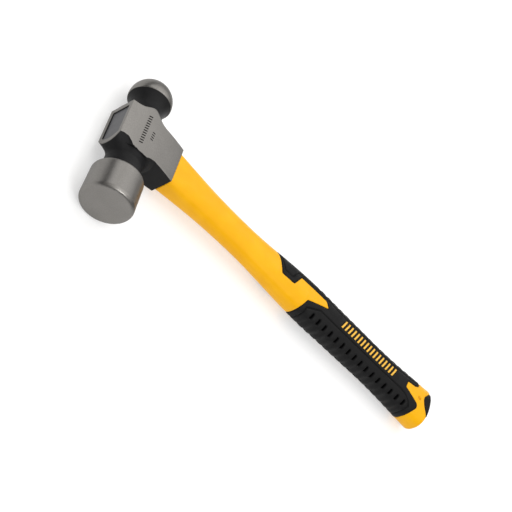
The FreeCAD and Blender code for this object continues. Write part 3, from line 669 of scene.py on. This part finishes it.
def shell(name, faces, outer, inner, height):
    """Closed shell from some faces of the surface: outside, inside and the walls between."""
    used = np.unique(np.concatenate([f.ravel() for f in faces]))
    order = np.full(len(outer), -1)
    order[used] = np.arange(len(used))
    faces = [order[f] for f in faces]
    n = len(used)
    edges = np.concatenate([f[:, [k, (k + 1) % f.shape[1]]] for f in faces for k in range(f.shape[1])])
    rim = edges[~np.isin(edges[:, 0] * n + edges[:, 1], edges[:, 1] * n + edges[:, 0])]
    walls = np.stack([rim[:, 1], rim[:, 0], rim[:, 0] + n, rim[:, 1] + n], -1)
    faces = faces + [f[:, ::-1] + n for f in faces] + [walls]
    return mesh_object(name + "_shape", np.concatenate([outer[used], inner[used]]), faces,
                       height=np.append(height[used], np.zeros(n)))


handle = build_handle()


# ------------------------------------------------------------------ materials
class Nodes:
    """Short hand for building a shader."""

    def __init__(self, name):
        self.mat = bpy.data.materials.new(name)
        self.mat.use_nodes = True
        self.tree = self.mat.node_tree
        self.tree.nodes.clear()
        self.out = self.tree.nodes.new("ShaderNodeOutputMaterial")
        self.bsdf = self.tree.nodes.new("ShaderNodeBsdfPrincipled")
        self.tree.links.new(self.bsdf.outputs[0], self.out.inputs[0])
        self.pos = self.add("ShaderNodeTexCoord").outputs["Object"]

    def add(self, kind, **settings):
        node = self.tree.nodes.new(kind)
        for key, value in settings.items():
            setattr(node, key, value)
        return node

    def put(self, socket, value):
        if isinstance(value, bpy.types.NodeSocket):
            self.tree.links.new(value, socket)
        else:
            socket.default_value = value

    def math(self, op, a, b=0.0, c=0.0, clamp=False):
        node = self.add("ShaderNodeMath", operation=op, use_clamp=clamp)
        for i, v in enumerate((a, b, c)):
            self.put(node.inputs[i], v)
        return node.outputs[0]

    def axes(self):
        node = self.add("ShaderNodeSeparateXYZ")
        self.put(node.inputs[0], self.pos)
        return node.outputs[0], node.outputs[1], node.outputs[2]

    def scaled(self, sx, sy, sz):
        node = self.add("ShaderNodeMapping")
        self.put(node.inputs[0], self.pos)
        node.inputs["Scale"].default_value = (sx, sy, sz)
        return node.outputs[0]

    def noise(self, vector, scale, detail=3.0, rough=0.5):
        node = self.add("ShaderNodeTexNoise")
        self.put(node.inputs["Vector"], vector)
        node.inputs["Scale"].default_value = scale
        node.inputs["Detail"].default_value = detail
        node.inputs["Roughness"].default_value = rough
        return node.outputs["Fac"]

    def ramp(self, value, lo, hi, a=0.0, b=1.0):
        node = self.add("ShaderNodeMapRange", interpolation_type="SMOOTHSTEP")
        for i, v in enumerate((value, lo, hi, a, b)):
            self.put(node.inputs[i], v)
        return node.outputs[0]

    def above(self, value, at, soft):
        """0 below a place in millimetres and 1 above it, with a soft edge."""
        return self.ramp(value, (at - soft) * MM, (at + soft) * MM)

    def below(self, value, at, soft):
        return self.ramp(value, (at + soft) * MM, (at - soft) * MM)

    def off(self, value, at):
        """Distance in metres from a place in millimetres."""
        return self.math("ABSOLUTE", self.math("SUBTRACT", value, at * MM))

    def mix(self, fac, a, b):
        node = self.add("ShaderNodeMix", data_type="RGBA")
        self.put(node.inputs[0], fac)
        self.put(node.inputs[6], a)
        self.put(node.inputs[7], b)
        return node.outputs[2]

    def blend(self, fac, a, b):
        node = self.add("ShaderNodeMix", data_type="FLOAT")
        self.put(node.inputs[0], fac)
        self.put(node.inputs[2], a)
        self.put(node.inputs[3], b)
        return node.outputs[0]

    def bump(self, height, distance, strength=1.0, base=None):
        node = self.add("ShaderNodeBump")
        self.put(node.inputs["Height"], height)
        node.inputs["Distance"].default_value = distance
        node.inputs["Strength"].default_value = strength
        if base is not None:
            self.put(node.inputs["Normal"], base)
        return node.outputs[0]

    def set(self, **values):
        for key, value in values.items():
            self.put(self.bsdf.inputs[key.replace("_", " ")], value)
        return self.mat


def yellow_plastic():
    m = Nodes("jacket_yellow")
    x, y, _ = m.axes()
    tint = m.noise(m.pos, 60, 2)
    fine = m.noise(m.pos, 900, 2)
    color = m.mix(m.ramp(tint, 0.35, 0.7), (0.785, 0.38, 0.002, 1), (0.82, 0.41, 0.004, 1))
    # painted shade in the moulding dimple: the yellow darkened towards its middle
    away = m.math("SQRT", m.math("ADD", m.math("POWER", m.off(x, DIMPLE_X), 2.0),
                                 m.math("POWER", m.off(y, AXIS_Y + DIMPLE_Y), 2.0)))
    dimple_shade = m.ramp(away, DIMPLE_R * MM, DIMPLE_R * 0.6 * MM, 0.0, 0.6)
    color = m.mix(dimple_shade, color, (0.42, 0.16, 0.004, 1))
    # the raised bars in the grip are printed a paler gold
    middle = BAR_FIRST + (BAR_PITCH * BAR_COUNT + BAR_LEAN) / 2
    along = m.math("LESS_THAN", m.off(x, middle), 42 * MM)
    across = m.math("LESS_THAN", m.off(y, AXIS_Y + (BAR_LOW + BAR_HIGH) / 2), 5.8 * MM)
    color = m.mix(m.math("MULTIPLY", along, across), color, (0.80, 0.45, 0.06, 1))
    bump = m.bump(fine, 0.00004)
    bump = m.bump(tint, 0.0004, 0.5, bump)
    rough = m.ramp(m.noise(m.pos, 220, 3), 0.3, 0.7, 0.3, 0.42)
    return m.set(Base_Color=color, Roughness=rough, Normal=bump, Specular_IOR_Level=0.15)


def black_rubber():
    m = Nodes("grip_rubber")
    grain = m.noise(m.pos, 1500, 2, 0.6)
    wide = m.noise(m.pos, 110, 3)
    color = m.mix(wide, (0.0035, 0.0035, 0.0038, 1), (0.0065, 0.0065, 0.0068, 1))
    bump = m.bump(grain, 0.00012, 0.8)
    rough = m.ramp(wide, 0.3, 0.7, 0.52, 0.66)
    # painted shade in the slots, panel lines and other recesses: a darker colour and weaker specular where
    # the surface is sunk, with a duller roughness
    height = m.add("ShaderNodeAttribute", attribute_name="height").outputs["Fac"]
    recess_shade = m.ramp(height, -0.35, -1.3)
    color = m.mix(recess_shade, color, (0.0015, 0.0015, 0.0016, 1))
    return m.set(Base_Color=color, Roughness=m.blend(recess_shade, rough, 0.9), Normal=bump,
                 Specular_IOR_Level=m.ramp(recess_shade, 0.0, 1.0, 0.16, 0.02))


TICK_ROWS = (           # middle, half height, first tick, pitch, count, filled share, lean
    (-1.7, 1.75, 57.6, 2.5, 12, 0.46, 0.35),
    (6.0, 1.3, 67.6, 2.3, 4, 0.42, 0.0),
)


def etched_ticks(m, x, y, z):
    """Two rows of plain dark ticks etched in the upper cheek: a long row and a short one under it."""
    total = 0.0
    for middle, half, first, pitch, count, share, lean in TICK_ROWS:
        across = m.math("SUBTRACT", x, middle * MM)
        along = m.math("SUBTRACT", m.math("SUBTRACT", y, first * MM), m.math("MULTIPLY", across, lean))
        turn = m.math("FRACT", m.math("DIVIDE", along, pitch * MM))
        row = m.below(m.math("ABSOLUTE", across), half, 0.1)
        from_tick = m.math("ABSOLUTE", m.math("SUBTRACT", turn, share / 2))
        tick = m.ramp(from_tick, share / 2 + 0.05, share / 2 - 0.05)
        span = m.math("MULTIPLY", m.math("GREATER_THAN", along, 0.0),
                      m.math("LESS_THAN", along, (count * pitch - 0.2) * MM))
        total = m.math("MAXIMUM", total, m.math("MULTIPLY", m.math("MULTIPLY", row, tick), span))
    return m.math("MULTIPLY", total, m.math("GREATER_THAN", z, 10 * MM))


def head_paint(m, x, y, z):
    """Where the head is painted: the necks, the walls of the boss and under the ball, but not the
    ground cheeks or the top of the boss."""
    painted = m.math("MULTIPLY", m.above(y, POLL_LEN - 0.4, 0.18), m.below(y, BALL_Y - 1.9, 0.18))
    surface = CHEEK * MM
    for towards, reach, power, drop in ((-1, HEAD_TOP + CROWN_MID, CROWN_TOP, CHEEK - TOP_HALF),
                                        (1, HEAD_BOTTOM - CROWN_MID, CROWN_BOTTOM, CHEEK - SKIRT_HALF)):
        away = m.math("MULTIPLY", m.math("SUBTRACT", x, CROWN_MID * MM), towards / (reach * MM))
        crown = m.math("MULTIPLY", m.math("POWER", m.math("MAXIMUM", away, 0.0), power), drop * MM)
        surface = m.math("SUBTRACT", surface, crown)
    off_cheek = m.above(m.math("SUBTRACT", surface, m.math("ABSOLUTE", z)), 0.13, 0.04)
    past_cheek = m.math("MAXIMUM", m.below(y, TAB_NEAR - 0.3, 0.1), m.above(y, TAB_FAR - 0.6, 0.1))
    painted = m.math("MULTIPLY", painted, m.math("MAXIMUM", off_cheek, past_cheek))
    past_top = m.math("MAXIMUM", m.below(y, BOSS_NEAR - BULGE - 1.3, 0.1), m.above(y, BOSS_FAR + 0.5, 0.1))
    off_top = m.above(x, 0.3 - HEAD_TOP, 0.28)
    return m.math("MULTIPLY", painted, m.math("MAXIMUM", off_top, past_top))


def head_finish():
    """Ground steel, partly painted black, with the etched ticks."""
    m = Nodes("head_steel")
    x, y, z = m.axes()
    paint, etched = head_paint(m, x, y, z), etched_ticks(m, x, y, z)
    cloud = m.noise(m.pos, 45, 4)
    rings = m.noise(m.scaled(300, 3000, 300), 1.0, 3)
    pits = m.noise(m.pos, 700, 3, 0.6)
    grain = m.noise(m.pos, 1100, 2, 0.6)
    steel = m.mix(m.ramp(cloud, 0.35, 0.7), (0.205, 0.197, 0.186, 1), (0.235, 0.226, 0.214, 1))
    steel = m.mix(m.ramp(grain, 0.4, 0.62, 0.0, 0.3), steel, (0.15, 0.144, 0.136, 1))
    steel = m.mix(etched, steel, (0.012, 0.011, 0.0105, 1))
    black = m.mix(m.ramp(cloud, 0.3, 0.7), (0.0105, 0.0105, 0.011, 1), (0.0145, 0.0145, 0.015, 1))
    rough = m.blend(paint, m.ramp(cloud, 0.3, 0.7, 0.33, 0.41), 0.46)
    metal = m.math("SUBTRACT", 1.0, m.math("MAXIMUM", paint, m.math("MULTIPLY", etched, 0.8)))
    height = m.math("ADD", m.math("MULTIPLY", rings, 0.35), m.math("MULTIPLY", pits, 0.35))
    bump = m.bump(height, 0.00006, 0.6)
    bump = m.bump(m.math("SUBTRACT", paint, etched), 0.00008, 1.0, bump)
    return m.set(Base_Color=m.mix(paint, steel, black), Roughness=rough, Metallic=metal, Normal=bump,
                 Specular_IOR_Level=0.09, Specular_Tint=(0.7, 0.7, 0.7, 1))


def resin():
    m = Nodes("bond_resin")
    cloud = m.noise(m.pos, 180, 4)
    color = m.mix(cloud, (0.04, 0.04, 0.045, 1), (0.07, 0.07, 0.078, 1))
    return m.set(Base_Color=color, Roughness=0.45, Normal=m.bump(cloud, 0.0003, 0.6))


def glass_fibre():
    m = Nodes("core_fibreglass")
    streak = m.noise(m.scaled(20, 900, 900), 1.0, 3)
    color = m.mix(streak, (0.45, 0.42, 0.30, 1), (0.62, 0.58, 0.45, 1))
    return m.set(Base_Color=color, Roughness=0.5, Normal=m.bump(streak, 0.0001))


def floor_paint():
    m = Nodes("floor_pale")
    grain = m.noise(m.pos, 300, 3)
    color = m.mix(grain, (0.51, 0.51, 0.51, 1), (0.53, 0.53, 0.53, 1))
    return m.set(Base_Color=color, Roughness=0.7, Specular_IOR_Level=0.1,
                 Emission_Color=(1, 1, 1, 1), Emission_Strength=0.5)


def give_material(obj, material):
    """The same material on every slot of an object, or on a new one."""
    for slot in obj.material_slots:
        slot.material = material
    if not obj.material_slots:
        obj.data.materials.append(material)


def stand_in(obj, node, material):
    """Show a finer shape in place of a CAD node."""
    give_material(obj, material)
    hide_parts(node)
    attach(obj, "root")


YELLOW, RUBBER, STEEL = yellow_plastic(), black_rubber(), head_finish()
for node, material in (("handle_jacket", YELLOW), ("grip", RUBBER), ("butt_pad", RUBBER),
                       ("hammer_head", STEEL), ("eye_bond", resin()), ("fibreglass_core", glass_fibre())):
    give_material(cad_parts[node], material)

stand_in(head, "hammer_head", STEEL)
stand_in(handle["handle_jacket"], "handle_jacket", YELLOW)
stand_in(handle["grip"], "grip", RUBBER)
stand_in(handle["butt_pad"], "butt_pad", RUBBER)

# -------------------------------------------------------------- floor, lights
# The floor touches the three points the hammer rests on: poll rim, ball and butt.
UNDER_BUTT = 15.0
rest = [Vector((0, 3, -FACE_R)), Vector((0, BALL_Y, -BALL_R)), Vector((350, AXIS_Y, -UNDER_BUTT))]
floor_up = (rest[1] - rest[0]).cross(rest[2] - rest[0]).normalized()
floor_up *= 1 if floor_up.z > 0 else -1
bpy.ops.mesh.primitive_grid_add(x_subdivisions=8, y_subdivisions=8, size=1)
floor = bpy.context.object
floor.name = "studio_floor"
floor.scale = (14, 14, 1)
floor.rotation_mode = "QUATERNION"
floor.rotation_quaternion = Vector((0, 0, 1)).rotation_difference(floor_up)
floor.location = (rest[0] - floor_up * 0.05) * MM
floor.data.materials.append(floor_paint())

# A white studio with a dark band part way up its walls, so that the steel has something to reflect.
STUDIO = ((0.0, (0.78, 0.78, 0.775, 1)), (0.12, (0.78, 0.78, 0.775, 1)), (0.16, (0.05, 0.05, 0.052, 1)),
          (0.38, (0.06, 0.06, 0.062, 1)), (0.72, (1.0, 0.985, 0.96, 1)))


def studio_world():
    world = bpy.data.worlds.new("studio")
    world.use_nodes = True
    tree = world.node_tree
    tree.nodes.clear()
    output, backdrop, place, axes, tone = (tree.nodes.new("ShaderNode" + kind) for kind in (
        "OutputWorld", "Background", "TexCoord", "SeparateXYZ", "ValToRGB"))
    stops = tone.color_ramp.elements
    for k, (height, color) in enumerate(STUDIO):
        stop = stops[0] if k == 0 else stops.new(height)
        stop.position, stop.color = height, color
    stops.remove(stops[-1])
    for a, b in ((place.outputs["Generated"], axes.inputs[0]), (axes.outputs[2], tone.inputs[0]),
                 (tone.outputs[0], backdrop.inputs[0]), (backdrop.outputs[0], output.inputs[0])):
        tree.links.new(a, b)
    return world


bpy.context.scene.world = studio_world()
bpy.context.scene.view_settings.view_transform = "Standard"


def softbox(name, place, target, size, power):
    data = bpy.data.lights.new(name, "AREA")
    data.shape = "RECTANGLE"
    data.size, data.size_y = size
    data.energy = power
    obj = bpy.data.objects.new(name, data)
    bpy.context.scene.collection.objects.link(obj)
    obj.location = place
    obj.rotation_mode = "QUATERNION"
    obj.rotation_quaternion = (Vector(target) - Vector(place)).to_track_quat("-Z", "Y")


softbox("overhead", (0.1, 0.1, 1.6), (0.1, 0.07, 0), (1.6, 1.6), 8.5)
softbox("front", (0.25, -1.1, 1.2), (0.1, 0.07, 0), (0.7, 0.4), 9)
softbox("back", (0.30, 1.1, 0.82), (0, 0.07, 0), (1.7, 1.0), 4.5)
softbox("left", (-0.77, 1.06, 0.83), (0, 0.02, 0), (0.5, 0.6), 1.5)

# --------------------------------------------------------------------- camera
camera = bpy.data.objects.new("camera", bpy.data.cameras.new("camera"))
bpy.context.scene.collection.objects.link(camera)
camera.data.sensor_width = 36
camera.data.lens = 110.76
camera.data.clip_start, camera.data.clip_end = 0.05, 50
place = Vector((-0.4241, -0.7301, 0.7643))
turn = Vector((2.3219, 0.6676, 0.9213))               # axis times angle, world to a view down +Z
to_view = Matrix.Rotation(turn.length, 3, turn.normalized())
down_minus_z = Matrix(((1, 0, 0), (0, -1, 0), (0, 0, -1)))
camera.matrix_world = Matrix.Translation(place) @ (to_view.transposed() @ down_minus_z).to_4x4()
bpy.context.scene.camera = camera
